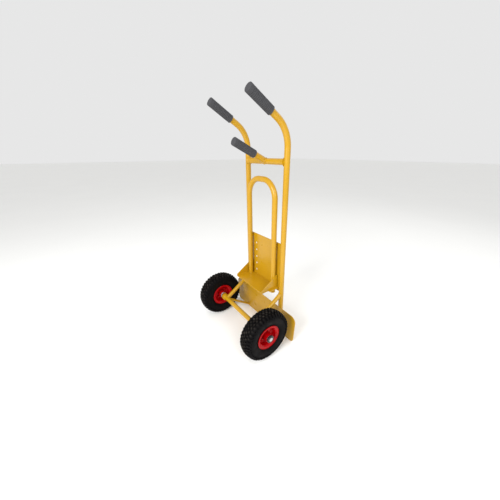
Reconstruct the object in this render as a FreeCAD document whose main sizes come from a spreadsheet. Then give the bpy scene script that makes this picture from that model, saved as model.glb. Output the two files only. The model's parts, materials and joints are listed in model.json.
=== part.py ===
"""Hand truck: welded tube frame, hoop and hole plate, height-adjustable shelf, two pneumatic wheels.

Axes: X across the truck, +Y forward (away from the wheels), +Z up, floor at Z = 0. The pieces are
drawn with the uprights in the plane Y = 0, symmetrical about X = 0, and written with the origin on the
floor under the middle of the whole truck.
"""
import FreeCAD, Part
import Sketcher
import math
import os

from FreeCAD import Placement, Rotation, Vector

DOC = FreeCAD.newDocument("HandTruck")
SUB_PARTS = []

# ---------------------------------------------------------------- driving dimensions
DIMENSIONS = {
    # fits
    "gap": 0.3,                # between two pieces that are welded or screwed together
    "slide_gap": 0.5,          # between the shelf carriage and what it slides on
    "shaft_gap": 0.05,         # radial, shaft in a bearing or a sleeve
    "bolt_gap": 0.3,           # radial, bolt in its hole
    "peg_gap": 0.1,            # radial, peg in the hole plate
    # uprights
    "tube_dia": 26.9,
    "tube_wall": 2.3,
    "upright_spacing": 284.0,
    "upright_foot": 6.0,       # height of the open lower end
    "bend_start": 960.0,
    "bend_radius": 120.0,
    "bend_angle": 60.0,
    "handle_run": 150.0,
    # cross members and the handle in the middle
    "crossbar_height": 907.0,
    "centre_angle": 25.0,
    "centre_run": 185.0,
    "weld_leg": 2.5,
    "plug_head": 3.0,
    "plug_run": 18.0,
    # grips
    "grip_dia": 35.0,
    "grip_run": 118.0,
    "grip_end": 5.0,
    "grip_gap": 0.15,
    # hoop
    "hoop_spacing": 201.0,
    "hoop_top": 829.0,
    "hoop_radius": 84.0,
    "hoop_foot": 250.0,
    "hoop_back": 25.5,
    "spacer_width": 12.0,
    "spacer_height": 10.0,
    "spacer_inset": 10.0,      # of the upper spacers, below the plate's top
    "spacer_lift": 2.0,        # of the lower spacers, above the plate's foot
    # hole plate
    "plate_thick": 3.0,
    "plate_back": 6.0,         # distance of its rear face behind the uprights' axes
    "plate_top": 533.0,
    "plate_foot": 256.0,
    "hole_dia": 11.0,
    "hole_spacing": 138.8,
    "hole_first": 265.1,
    "hole_pitch": 42.5,
    "hole_rows": 6,
    # shelf carriage
    "shelf_top": 281.0,
    "shelf_thick": 5.0,
    "shelf_reach": 115.5,
    "ear_reach": 70.0,
    "gusset_thick": 3.0,
    "gusset_rise": 72.0,
    "gusset_nose": 9.0,
    "gusset_flat": 7.0,
    "pad_width": 16.0,
    "pad_run": 18.0,
    "pad_start": 44.0,
    "gusset_seat": 1.0,        # depth of the step in the shelf that a gusset stands in
    # pegs
    "peg_nose": 16.0,
    "peg_tail": 64.0,
    "peg_collar_dia": 18.0,
    "peg_collar_run": 4.0,
    "peg_knob_dia": 16.0,
    "peg_knob_run": 5.0,
    # foot plate
    "foot_top_out": 131.0,     # from an upright's axis out to the plate's end, at its top
    "foot_base_out": 122.0,
    "foot_height": 166.0,
    "foot_thick": 4.0,
    "foot_top_corner": 32.0,
    "foot_base_corner": 22.0,
    # axle
    "axle_back": 179.0,
    "axle_dia": 20.0,
    "axle_tube_dia": 25.0,
    "boss_dia": 38.0,
    "boss_width": 18.7,
    "spacer_dia": 30.0,
    "washer_dia": 37.0,
    "washer_thick": 2.5,
    "cap_dia": 38.0,
    "cap_run": 6.5,
    "axle_proud": 3.0,
    # struts and braces
    "strut_dia": 22.0,
    "strut_wall": 2.0,
    "strut_height": 245.0,
    "brace_dia": 14.0,
    "brace_foot": 14.0,
    # wheels
    "wheel_offset": 82.0,      # from an upright's axis out to the middle of its wheel
    "wheel_radius": 130.0,
    "tyre_width": 83.0,
    "tyre_wall": 6.0,
    "tread_thick": 9.0,
    "crown_drop": 7.0,         # from the top of the tread down to its shoulder
    "shoulder_half": 33.2,     # from the tyre's middle out to its shoulder
    "belly_lift": 3.0,         # of the widest point, above half the tyre's height
    "rim_radius": 62.5,
    "rim_width": 62.0,
    "rim_thick": 2.4,
    "bead_radius": 50.5,
    "hub_dia": 42.0,
    "hub_width": 72.0,
    "bearing_dia": 35.0,
    "bearing_width": 11.0,
    "hub_play": 3.0,           # between the axle and the hub's bore
    "rim_bolt_dia": 8.0,
    "rim_bolt_circle": 58.0,
    "rim_bolts": 4,
    "rim_bolt_head": 5.0,
    "rim_bolt_across": 13.0,
    "rim_nut_run": 6.5,
    "inner_tube_seat": 9.2,    # from the bead seat out to the inner tube
    "rim_disc_dia": 78.0,
    "valve_dia": 9.0,
    "valve_run": 18.2,
    "valve_cap_run": 7.8,
    "valve_cap_dia": 7.2,
    "valve_out": 5.0,          # where the valve leaves the inner tube, out from its middle
    "valve_lean": 15.0,
    "valve_angle": 90.0,
}

sheet = DOC.addObject("Spreadsheet::Sheet", "sheet")
for row, (alias, value) in enumerate(DIMENSIONS.items(), start=1):
    sheet.set("A%d" % row, alias)
    sheet.set("B%d" % row, str(value))
    sheet.setAlias("B%d" % row, alias)
DOC.recompute()


def size(alias):
    """Value of one cell of the sheet."""
    return float(sheet.get(alias))


# ---------------------------------------------------------------- helpers: binding
def bind(thing, **formulas):
    """Bind properties to formulas in the sheet's aliases; base_x stands for Placement.Base.x."""
    for name, formula in formulas.items():
        path = name.replace("base_", ".Placement.Base.").replace("turn_", ".Placement.Rotation.")
        thing.setExpression(path, with_sheet(formula))


def with_sheet(formula):
    """Put 'sheet.' before each alias of a formula."""
    words = []
    word = ""
    for letter in str(formula) + " ":
        if letter.isalnum() or letter in "_.":
            word += letter
            continue
        words.append("sheet." + word if word in DIMENSIONS else word)
        words.append(letter)
        word = ""
    return "".join(words).strip()


def keep(thing, label):
    """Mark an object as a finished sub-part with its own name."""
    thing.Label = label
    SUB_PARTS.append(thing)
    return thing


def sides():
    """The two sides of the truck: name and sign of X."""
    return (("left", -1), ("right", 1))


# ---------------------------------------------------------------- helpers: primitives and booleans
AXIS_TURNS = {
    "x": (Vector(0, 1, 0), 90),
    "y": (Vector(1, 0, 0), -90),
    "z": (Vector(0, 0, 1), 0),
}


def cylinder(name, dia, length, axis="z", place=("0", "0", "0")):
    """A cylinder along an axis; every size and place is a formula."""
    rod = DOC.addObject("Part::Cylinder", name)
    bind(rod, Radius="(%s) / 2" % dia, Height=length)
    direction, angle = AXIS_TURNS[axis]
    rod.Placement = Placement(Vector(), Rotation(direction, angle))
    bind(rod, base_x=place[0], base_y=place[1], base_z=place[2])
    return rod


def block(name, length, width, height, place):
    """A box with its lowest corner at place; every size and place is a formula."""
    box = DOC.addObject("Part::Box", name)
    bind(box, Length=length, Width=width, Height=height)
    bind(box, base_x=place[0], base_y=place[1], base_z=place[2])
    return box


def slanted(name, dia, length, place, turn, lean=1):
    """A cylinder that leans back (lean 1) or forward (lean -1) by an angle from straight up."""
    rod = DOC.addObject("Part::Cylinder", name)
    bind(rod, Radius="(%s) / 2" % dia, Height=length)
    rod.Placement = Placement(Vector(), Rotation(Vector(lean, 0, 0), 1))
    bind(rod, base_x=place[0], base_y=place[1], base_z=place[2], turn_Angle=turn)
    return rod


def cut(name, base, *tools):
    """Base less every tool, in order."""
    for number, tool in enumerate(tools, start=1):
        result = DOC.addObject("Part::Cut", "%s_cut%d" % (name, number))
        result.Base = base
        result.Tool = tool
        base = result
    return base


def fuse(name, *shapes):
    """One solid from several that overlap."""
    result = DOC.addObject("Part::MultiFuse", name)
    result.Shapes = list(shapes)
    return result


def ring(label, outer, inner, length, place):
    """A sleeve or washer about an X axis."""
    tube = cut(
        label,
        cylinder(label + "_outside", outer, length, "x", place),
        cylinder(label + "_bore", inner, length, "x", place),
    )
    return keep(tube, label)


def group(label, shapes):
    """Several separate solids that share one node."""
    compound = DOC.addObject("Part::Compound", label)
    compound.Links = shapes
    return keep(compound, label)


# ---------------------------------------------------------------- helpers: bodies and sketches
def new_body(label):
    body = DOC.addObject("PartDesign::Body", label)
    return keep(body, label)


def new_sketch(body, name, role, offset="0"):
    """A sketch on one of the body's own origin planes, moved along that plane's normal."""
    sketch = body.newObject("Sketcher::SketchObject", name)
    plane = next(item for item in body.Origin.OriginFeatures if item.Role == role)
    sketch.AttachmentSupport = [(plane, "")]
    sketch.MapMode = "FlatFace"
    sketch.setExpression(".AttachmentOffset.Base.z", with_sheet(offset))
    return sketch


def fix_point(sketch, geometry, corner, place):
    """Tie one point of a sketch to two formulas measured from the sketch's origin."""
    for kind, formula in zip(("DistanceX", "DistanceY"), place):
        number = sketch.addConstraint(Sketcher.Constraint(kind, -1, 1, geometry, corner, 1.0))
        sketch.setExpression("Constraints[%d]" % number, with_sheet(formula))


def draw_outline(sketch, corners):
    """A closed outline of straight sides through corners, each a pair of formulas."""
    first = sketch.GeometryCount
    count = len(corners)
    for number in range(count):
        turn = 2 * math.pi * number / count
        after = 2 * math.pi * (number + 1) / count
        start = Vector(50 * math.cos(turn), 50 * math.sin(turn), 0)
        end = Vector(50 * math.cos(after), 50 * math.sin(after), 0)
        sketch.addGeometry(Part.LineSegment(start, end), False)
    for number in range(count):
        after = first + (number + 1) % count
        sketch.addConstraint(Sketcher.Constraint("Coincident", first + number, 2, after, 1))
    for number, place in enumerate(corners):
        fix_point(sketch, first + number, 1, place)


def draw_circle(sketch, radius, place=("0", "0")):
    """A circle with its centre and radius given as formulas."""
    number = sketch.addGeometry(Part.Circle(Vector(1, 1, 0), Vector(0, 0, 1), 5), False)
    fix_point(sketch, number, 3, place)
    limit = sketch.addConstraint(Sketcher.Constraint("Radius", number, 5.0))
    sketch.setExpression("Constraints[%d]" % limit, with_sheet(radius))
    return number


def pad(body, sketch, length):
    feature = body.newObject("PartDesign::Pad", sketch.Name + "_pad")
    feature.Profile = sketch
    feature.setExpression("Length", with_sheet(length))
    sketch.Visibility = False
    body.Tip = feature
    return feature


def pocket_through(body, sketch):
    """Cut a sketch through the whole body, both ways; the volume must fall."""
    DOC.recompute()
    before = body.Shape.Volume
    feature = body.newObject("PartDesign::Pocket", sketch.Name + "_pocket")
    feature.Profile = sketch
    feature.Type = 1
    feature.Midplane = True
    body.Tip = feature
    DOC.recompute()
    assert body.Shape.Volume < before, body.Label + ": the pocket cuts nothing"
    return feature


def round_corners(body, radius, name, chosen):
    """Fillet the edges of the body's tip that the test picks."""
    DOC.recompute()
    base = body.Tip
    edges = ["Edge%d" % number for number, edge in enumerate(base.Shape.Edges, start=1) if chosen(edge)]
    assert edges, body.Label + ": no edge to round"
    feature = body.newObject("PartDesign::Fillet", name)
    feature.Base = (base, edges)
    feature.setExpression("Radius", with_sheet(radius))
    body.Tip = feature
    DOC.recompute()
    return feature


def runs_along(edge, axis):
    """True for a straight edge along an axis."""
    if len(edge.Vertexes) != 2:
        return False
    step = edge.Vertexes[1].Point - edge.Vertexes[0].Point
    return step.Length > 0 and abs(step.normalize().dot(axis)) > 0.999


# ---------------------------------------------------------------- helpers: piped tubes
def bend_between(before, after, radius):
    """The arc that rounds the corner where two straight runs would meet."""
    start = before.EndPoint
    end = after.StartPoint
    middle = (start + end) / 2
    heading = (before.EndPoint - before.StartPoint).normalize()
    corner = start + heading * ((middle - start).dot(end - start) / heading.dot(end - start))
    outward = (corner - middle).normalize()
    rise = radius - math.sqrt(radius ** 2 - start.distanceToPoint(end) ** 2 / 4)
    turns_left = heading.cross(end - start).z > 0
    ends = (start, end) if turns_left else (end, start)
    return Part.Arc(ends[0], middle + outward * rise, ends[1])


def draw_spine(sketch, runs, radius, radius_value):
    """Straight runs, each a pair of end points given as formulas, joined by arcs of one radius."""
    for number, run in enumerate(runs):
        sketch.addGeometry(Part.LineSegment(Vector(number, 1, 0), Vector(number, 9, 0)), False)
        fix_point(sketch, number, 1, run[0])
        fix_point(sketch, number, 2, run[1])
    DOC.recompute()
    for number in range(len(runs) - 1):
        before, after = sketch.Geometry[number], sketch.Geometry[number + 1]
        arc = sketch.addGeometry(bend_between(before, after, radius_value), False)
        begins = sketch.Geometry[arc].StartPoint.distanceToPoint(before.EndPoint) < 1
        sketch.addConstraint(Sketcher.Constraint("Coincident", arc, 1 if begins else 2, number, 2))
        sketch.addConstraint(Sketcher.Constraint("Coincident", arc, 2 if begins else 1, number + 1, 1))
        limit = sketch.addConstraint(Sketcher.Constraint("Radius", arc, radius_value))
        sketch.setExpression("Constraints[%d]" % limit, with_sheet(radius))


def pipe(body, profile, spine):
    """Sweep a profile sketch along every edge of a spine sketch."""
    DOC.recompute()
    feature = body.newObject("PartDesign::AdditivePipe", body.Name + "_pipe")
    feature.Profile = profile
    feature.Spine = (spine, ["Edge%d" % (number + 1) for number in range(len(spine.Shape.Edges))])
    profile.Visibility = False
    spine.Visibility = False
    body.Tip = feature
    return feature


# ---------------------------------------------------------------- fixed frame: uprights and grips
BEND_END = ("-bend_radius * (1 - cos(bend_angle * 1 deg))", "bend_start + bend_radius * sin(bend_angle * 1 deg)")
HANDLE_END = (
    BEND_END[0] + " - handle_run * sin(bend_angle * 1 deg)",
    BEND_END[1] + " + handle_run * cos(bend_angle * 1 deg)",
)


def make_upright(name, side):
    """A tube that rises straight from the foot and bends back into a handle."""
    across = "%d * upright_spacing / 2" % side
    body = new_body("upright_" + name)
    profile = new_sketch(body, "upright_%s_ring" % name, "XY_Plane", "upright_foot")
    draw_circle(profile, "tube_dia / 2", (across, "0"))
    draw_circle(profile, "tube_dia / 2 - tube_wall", (across, "0"))
    spine = new_sketch(body, "upright_%s_line" % name, "YZ_Plane", across)
    runs = [(("0", "upright_foot"), ("0", "bend_start")), (BEND_END, HANDLE_END)]
    draw_spine(spine, runs, "bend_radius", size("bend_radius"))
    pipe(body, profile, spine)


def make_grip(label, across, start, turn, run):
    """A rubber sleeve closed at its end; start is where the tube's last straight run begins."""
    slip = "(%s) - grip_run + grip_end + grip_gap" % run
    place = (
        across,
        "%s - (%s) * sin(%s * 1 deg)" % (start[0], slip, turn),
        "%s + (%s) * cos(%s * 1 deg)" % (start[1], slip, turn),
    )
    angle = "(%s) * 1 deg" % turn
    sleeve = slanted(label + "_outside", "grip_dia", "grip_run", place, angle)
    bore = slanted(label + "_bore", "tube_dia + 2 * grip_gap", "grip_run - grip_end", place, angle)
    keep(cut(label, sleeve, bore), label)


def make_plug(label, across, along, height):
    """A plastic plug in the open lower end of a tube."""
    head = cylinder(label + "_head", "tube_dia", "plug_head", "z", (across, along, height + " - gap - plug_head"))
    stem_dia = "tube_dia - 2 * tube_wall - 2 * grip_gap"
    stem = cylinder(label + "_stem", stem_dia, "plug_run", "z", (across, along, height + " - gap - plug_head"))
    return fuse(label, head, stem)


for name, side in sides():
    make_upright(name, side)
    across = "%d * upright_spacing / 2" % side
    make_grip("grip_" + name, across, BEND_END, "bend_angle", "handle_run")
    keep(make_plug("foot_plug_" + name, across, "0", "upright_foot"), "foot_plug_" + name)


# ---------------------------------------------------------------- fixed frame: crossbar and centre handle
def upright_cutter(name, side):
    """The space that an upright takes, with the welding gap."""
    place = ("%d * upright_spacing / 2" % side, "0", "0")
    return cylinder(name, "tube_dia + 2 * gap", "bend_start", "z", place)


def weld_cone(name, side):
    """The flared weld bead at one end of the crossbar."""
    cone = DOC.addObject("Part::Cone", name)
    bind(cone, Radius1="tube_dia / 2", Radius2="tube_dia / 2 + 3 * weld_leg", Height="3 * weld_leg")
    cone.Placement = Placement(Vector(), Rotation(Vector(0, 1, 0), 90 * side))
    start = "%d * (upright_spacing / 2 - tube_dia / 2 - weld_leg)" % side
    bind(cone, base_x=start, base_z="crossbar_height")
    return cone


def make_crossbar():
    start = ("-upright_spacing / 2", "0", "crossbar_height")
    rod = cylinder("crossbar_outside", "tube_dia", "upright_spacing", "x", start)
    solid = fuse("crossbar_solid", rod, weld_cone("crossbar_weld_left", -1), weld_cone("crossbar_weld_right", 1))
    bore = cylinder("crossbar_bore", "tube_dia - 2 * tube_wall", "upright_spacing", "x", start)
    cutters = [upright_cutter("crossbar_end_" + name, side) for name, side in sides()]
    keep(cut("crossbar", solid, bore, *cutters), "crossbar")


def make_centre_handle():
    """A short tube that leaves the middle of the crossbar backwards and slightly upwards."""
    start = ("0", "0", "crossbar_height")
    turn = "(90 - centre_angle) * 1 deg"
    rod = slanted("centre_outside", "tube_dia", "centre_run", start, turn)
    bore = slanted("centre_bore", "tube_dia - 2 * tube_wall", "centre_run", start, turn)
    bar = ("-upright_spacing / 4", "0", "crossbar_height")
    seat = cylinder("centre_seat", "tube_dia + 2 * gap", "upright_spacing / 2", "x", bar)
    keep(cut("centre_handle", rod, bore, seat), "centre_handle")
    make_grip("centre_grip", "0", ("0", "crossbar_height"), "(90 - centre_angle)", "centre_run")


make_crossbar()
make_centre_handle()


# ---------------------------------------------------------------- fixed frame: hoop and hole plate
def make_hoop():
    """An inverted U of tube; its straight legs are the shelf's rails."""
    leg = "hoop_spacing / 2"
    body = new_body("hoop")
    profile = new_sketch(body, "hoop_ring", "XY_Plane", "hoop_foot")
    draw_circle(profile, "tube_dia / 2", ("-" + leg, "-hoop_back"))
    draw_circle(profile, "tube_dia / 2 - tube_wall", ("-" + leg, "-hoop_back"))
    spine = new_sketch(body, "hoop_line", "XZ_Plane", "hoop_back")
    bend = "hoop_top - hoop_radius"
    runs = [
        (("-" + leg, "hoop_foot"), ("-" + leg, bend)),
        (("-%s + hoop_radius" % leg, "hoop_top"), ("%s - hoop_radius" % leg, "hoop_top")),
        ((leg, bend), (leg, "hoop_foot")),
    ]
    draw_spine(spine, runs, "hoop_radius", size("hoop_radius"))
    pipe(body, profile, spine)
    plugs = [
        make_plug("hoop_plug_" + name, "%d * hoop_spacing / 2" % side, "-hoop_back", "hoop_foot")
        for name, side in sides()
    ]
    group("hoop_plugs", plugs)


def make_hoop_spacers():
    """Four blocks that hold the legs off the hole plate, so that the shelf can pass round each leg."""
    thick = "hoop_back - tube_dia / 2 - plate_back - 2 * gap"
    heights = ("plate_foot + spacer_lift", "plate_top - spacer_inset - spacer_height")
    blocks = []
    for name, side in sides():
        for level, height in enumerate(heights):
            across = "%d * hoop_spacing / 2 - spacer_width / 2" % side
            place = (across, "gap - hoop_back + tube_dia / 2", height)
            blocks.append(block("spacer_%s_%d" % (name, level), "spacer_width", thick, "spacer_height", place))
    group("hoop_spacers", blocks)


def make_hole_plate():
    """A flat plate between the uprights with two columns of holes."""
    front = "(plate_back - plate_thick)"
    edge = "upright_spacing / 2 - gap - sqrt((tube_dia / 2)^2 - %s^2)" % front
    body = new_body("hole_plate")
    outline = new_sketch(body, "hole_plate_outline", "XZ_Plane", front)
    corners = [("-(%s)" % edge, "plate_foot"), (edge, "plate_foot"), (edge, "plate_top"), ("-(%s)" % edge, "plate_top")]
    draw_outline(outline, corners)
    pad(body, outline, "plate_thick")
    holes = new_sketch(body, "hole_plate_holes", "XZ_Plane", front)
    for side in (-1, 1):
        draw_circle(holes, "hole_dia / 2", ("%d * hole_spacing / 2" % side, "hole_first"))
    pocket = pocket_through(body, holes)
    pattern = body.newObject("PartDesign::LinearPattern", "hole_plate_rows")
    pattern.Originals = [pocket]
    pattern.Direction = (holes, ["V_Axis"])
    pattern.setExpression("Length", with_sheet("hole_pitch * (hole_rows - 1)"))
    pattern.setExpression("Occurrences", with_sheet("hole_rows"))
    body.Tip = pattern
    DOC.recompute()


make_hoop()
make_hoop_spacers()
make_hole_plate()


# ---------------------------------------------------------------- fixed frame: foot plate
def make_foot_plate():
    """A wide upright plate behind the feet of the uprights; its lower edge rests on the floor."""
    body = new_body("foot_plate")
    outline = new_sketch(body, "foot_plate_outline", "XZ_Plane", "tube_dia / 2 + gap")
    top, base = "(upright_spacing / 2 + foot_top_out)", "(upright_spacing / 2 + foot_base_out)"
    draw_outline(outline, [("-" + base, "0"), (base, "0"), (top, "foot_height"), ("-" + top, "foot_height")])
    pad(body, outline, "foot_thick")
    along = Vector(0, 1, 0)
    middle = size("foot_height") / 2
    round_corners(
        body, "foot_top_corner", "foot_plate_top_corners",
        lambda edge: runs_along(edge, along) and edge.CenterOfMass.z > middle,
    )
    round_corners(
        body, "foot_base_corner", "foot_plate_base_corners",
        lambda edge: runs_along(edge, along) and edge.CenterOfMass.z < 1,
    )


make_foot_plate()


# ---------------------------------------------------------------- fixed frame: axle, struts and braces
FOOT_REAR = "(tube_dia / 2 + gap + foot_thick)"
STRUT_DROP = "(strut_height - wheel_radius)"
BRACE_STEP = "(axle_back - %s)" % FOOT_REAR
BRACE_DROP = "(wheel_radius - brace_foot)"


def axle_cylinder(name, side, start, length, dia):
    """A cylinder about the axle, from a distance out from the middle plane."""
    out = start if side > 0 else "-(%s) - (%s)" % (start, length)
    return cylinder(name, dia, length, "x", (out, "-axle_back", "wheel_radius"))


def axle_ring(label, side, start, length, dia, bore):
    """A sleeve or washer on the axle."""
    outside = axle_cylinder(label + "_outside", side, start, length, dia)
    inside = axle_cylinder(label + "_bore", side, start, length, bore)
    return cut(label, outside, inside)


def strut_cylinder(name, side, dia):
    """A cylinder from an upright down to the axle."""
    place = ("%d * upright_spacing / 2" % side, "0", "strut_height")
    length = "sqrt(axle_back^2 + %s^2)" % STRUT_DROP
    return slanted(name, dia, length, place, "90 deg + atan(%s / axle_back)" % STRUT_DROP)


def make_strut(name, side):
    label = "strut_" + name
    rod = strut_cylinder(label + "_outside", side, "strut_dia")
    bore = strut_cylinder(label + "_bore", side, "strut_dia - 2 * strut_wall")
    top = upright_cutter(label + "_top", side)
    start = "upright_spacing / 2 - strut_dia"
    foot = axle_cylinder(label + "_foot", side, start, "2 * strut_dia", "axle_tube_dia + 2 * gap")
    keep(cut(label, rod, bore, top, foot), label)


def make_brace(name, side):
    """A rod from the axle tube down to the foot plate, under the strut."""
    label = "brace_" + name
    place = ("%d * upright_spacing / 2" % side, "-axle_back", "wheel_radius")
    length = "sqrt(%s^2 + %s^2) + brace_dia" % (BRACE_STEP, BRACE_DROP)
    rod = slanted(label + "_rod", "brace_dia", length, place, "90 deg + atan(%s / %s)" % (BRACE_DROP, BRACE_STEP), -1)
    start = "upright_spacing / 2 - strut_dia"
    axle = axle_cylinder(label + "_axle", side, start, "2 * strut_dia", "axle_tube_dia + 2 * gap")
    strut = strut_cylinder(label + "_strut", side, "strut_dia + 2 * gap")
    corner = ("%d * upright_spacing / 2 - strut_dia" % side, "-%s - gap" % FOOT_REAR, "-foot_height / 2")
    plate = block(label + "_plate", "2 * strut_dia", "foot_height", "foot_height", corner)
    keep(cut(label, rod, axle, strut, plate), label)


BOSS_START = "(upright_spacing / 2 + strut_dia / 2 + gap)"
SLEEVE_END = "(%s + boss_width)" % BOSS_START
SLEEVE_BORE = "axle_dia + 2 * shaft_gap"
HUB_OUT = "(upright_spacing / 2 + wheel_offset + hub_width / 2)"
HUB_IN = "(upright_spacing / 2 + wheel_offset - hub_width / 2)"
CAP_START = HUB_OUT + " + 2 * gap + washer_thick"
AXLE_HALF = "(%s + cap_run + axle_proud)" % CAP_START


def make_axle():
    """A tube across the struts, a rod through it, and the rings that hold each wheel on the rod."""
    start = ("-" + SLEEVE_END, "-axle_back", "wheel_radius")
    ring("axle_tube", "axle_tube_dia", SLEEVE_BORE, "2 * " + SLEEVE_END, start)
    rod_start = ("-" + AXLE_HALF, "-axle_back", "wheel_radius")
    keep(cylinder("axle_rod", "axle_dia", "2 * " + AXLE_HALF, "x", rod_start), "axle_rod")
    for name, side in sides():
        boss_bore = "axle_tube_dia + 2 * gap"
        keep(axle_ring("boss_" + name, side, BOSS_START, "boss_width", "boss_dia", boss_bore), "axle_boss_" + name)
        spacer_run = "%s - %s - 2 * gap" % (HUB_IN, SLEEVE_END)
        spacer = axle_ring("spacer_" + name, side, SLEEVE_END + " + gap", spacer_run, "spacer_dia", SLEEVE_BORE)
        keep(spacer, "axle_spacer_" + name)
        washer = axle_ring("washer_" + name, side, HUB_OUT + " + gap", "washer_thick", "washer_dia", SLEEVE_BORE)
        keep(washer, "axle_washer_" + name)
        cap = axle_ring("cap_" + name, side, CAP_START, "cap_run", "cap_dia", SLEEVE_BORE)
        keep(cap, "axle_cap_" + name)


for name, side in sides():
    make_strut(name, side)
    make_brace(name, side)
make_axle()

# ---------------------------------------------------------------- shelf carriage
RAIL_OUT = "(hoop_spacing / 2 + tube_dia / 2 + slide_gap)"
SHELF_HALF = "(%s + gusset_thick)" % RAIL_OUT
SHELF_FRONT = "(plate_back + slide_gap)"
EAR_HALF = "(upright_spacing / 2 - sqrt((tube_dia / 2 + slide_gap)^2 - %s^2))" % SHELF_FRONT
PEG_DIA = "(hole_dia - 2 * peg_gap)"


def make_shelf():
    """A flat shelf that slides on the hoop's legs, with ears behind the uprights."""
    body = new_body("shelf")
    outline = new_sketch(body, "shelf_outline", "XY_Plane", "shelf_top - shelf_thick")
    corners = [
        (EAR_HALF, "-" + SHELF_FRONT),
        (EAR_HALF, "-ear_reach"),
        (SHELF_HALF, "-ear_reach"),
        (SHELF_HALF, "-shelf_reach"),
    ]
    mirrored = [("-" + across, along) for across, along in reversed(corners)]
    draw_outline(outline, corners + mirrored)
    pad(body, outline, "shelf_thick")
    legs = new_sketch(body, "shelf_leg_holes", "XY_Plane", "shelf_top - shelf_thick")
    for side in (-1, 1):
        draw_circle(legs, "tube_dia / 2 + slide_gap", ("%d * hoop_spacing / 2" % side, "-hoop_back"))
    pocket_through(body, legs)
    steps = new_sketch(body, "shelf_gusset_steps", "XY_Plane", "shelf_top")
    for side in (-1, 1):
        draw_gusset_step(steps, side)
    pocket = body.newObject("PartDesign::Pocket", "shelf_gusset_pocket")
    pocket.Profile = steps
    bind(pocket, Length="gusset_seat")
    steps.Visibility = False
    body.Tip = pocket
    DOC.recompute()


def draw_gusset_step(sketch, side):
    """The strip of the shelf's top that one gusset stands in."""
    inner, outer = "%d * (%s - gap)" % (side, RAIL_OUT), "%d * (%s + gap)" % (side, SHELF_HALF)
    front, rear = "-%s" % SHELF_FRONT, "-shelf_reach - gap"
    draw_outline(sketch, [(inner, rear), (outer, rear), (outer, front), (inner, front)])


def make_shelf_pads():
    """Two small blocks under the shelf where it rests on the pegs."""
    drop = "(shelf_top - shelf_thick - gap - hole_first - %s / 2 - gap)" % PEG_DIA
    pads = []
    for name, side in sides():
        place = (
            "%d * hole_spacing / 2 - pad_width / 2" % side,
            "-pad_start - pad_run",
            "shelf_top - shelf_thick - gap - %s" % drop,
        )
        pads.append(block("shelf_pad_" + name, "pad_width", "pad_run", drop, place))
    group("shelf_pads", pads)


def make_gusset(name, side):
    """A triangular side plate that stands on the shelf's edge, outboard of a hoop leg."""
    body = new_body("gusset_" + name)
    inner = RAIL_OUT if side > 0 else "-%s" % SHELF_HALF
    outline = new_sketch(body, "gusset_%s_outline" % name, "YZ_Plane", inner)
    front = "-%s - gusset_thick" % SHELF_FRONT
    foot = "shelf_top - gusset_seat + gap"
    corners = [
        ("-shelf_reach", foot),
        (front, foot),
        (front, "shelf_top + gusset_rise"),
        (front + " - gusset_flat", "shelf_top + gusset_rise"),
        ("-shelf_reach", "shelf_top + gusset_nose"),
    ]
    draw_outline(outline, corners)
    pad(body, outline, "gusset_thick")


def make_peg(name, side):
    """A steel peg through the lowest hole; the shelf rests on it behind the plate."""
    label = "peg_" + name
    across = "%d * hole_spacing / 2" % side
    shank = cylinder(label + "_shank", PEG_DIA, "peg_tail + peg_nose", "y", (across, "-peg_tail", "hole_first"))
    collar_start = "-plate_back - gap - peg_collar_run"
    collar_place = (across, collar_start, "hole_first")
    collar = cylinder(label + "_collar", "peg_collar_dia", "peg_collar_run", "y", collar_place)
    knob_place = (across, "-peg_tail - peg_knob_run", "hole_first")
    knob = cylinder(label + "_knob", "peg_knob_dia", "peg_knob_run", "y", knob_place)
    tip = DOC.addObject("Part::Cone", label + "_tip")
    bind(tip, Radius1=PEG_DIA + " / 2", Radius2=PEG_DIA + " / 4", Height=PEG_DIA + " / 2")
    tip.Placement = Placement(Vector(), Rotation(Vector(1, 0, 0), -90))
    bind(tip, base_x=across, base_y="peg_nose", base_z="hole_first")
    keep(fuse(label, shank, collar, knob, tip), label)


make_shelf()
make_shelf_pads()
for name, side in sides():
    make_gusset(name, side)
    make_peg(name, side)


# ---------------------------------------------------------------- wheels
WHEEL_OUT = "(upright_spacing / 2 + wheel_offset)"


def wheel_place(side):
    out = size("upright_spacing") / 2 + size("wheel_offset")
    return Placement(Vector(side * out, -size("axle_back"), size("wheel_radius")), Rotation())


def revolved(label, side, steps):
    """A ring about the wheel's axis. Steps are (out, radius) points; a step of two points is an arc."""
    def point(place):
        return Vector(side * place[0], 0, place[1])

    edges = []
    here = point(steps[0])
    for step in steps[1:] + [steps[0]]:
        if isinstance(step[0], tuple):
            there = point(step[1])
            edges.append(Part.Arc(here, point(step[0]), there).toShape())
        else:
            there = point(step)
            edges.append(Part.LineSegment(here, there).toShape())
        here = there
    face = Part.Face(Part.Wire(edges))
    return face.revolve(Vector(), Vector(1, 0, 0), 360)


def feature(label, shape, side):
    """A sub-part whose shape is set from code; its place comes after its shape."""
    thing = DOC.addObject("Part::Feature", label)
    thing.Shape = shape
    thing.Placement = wheel_place(side)
    return keep(thing, label)


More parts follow.
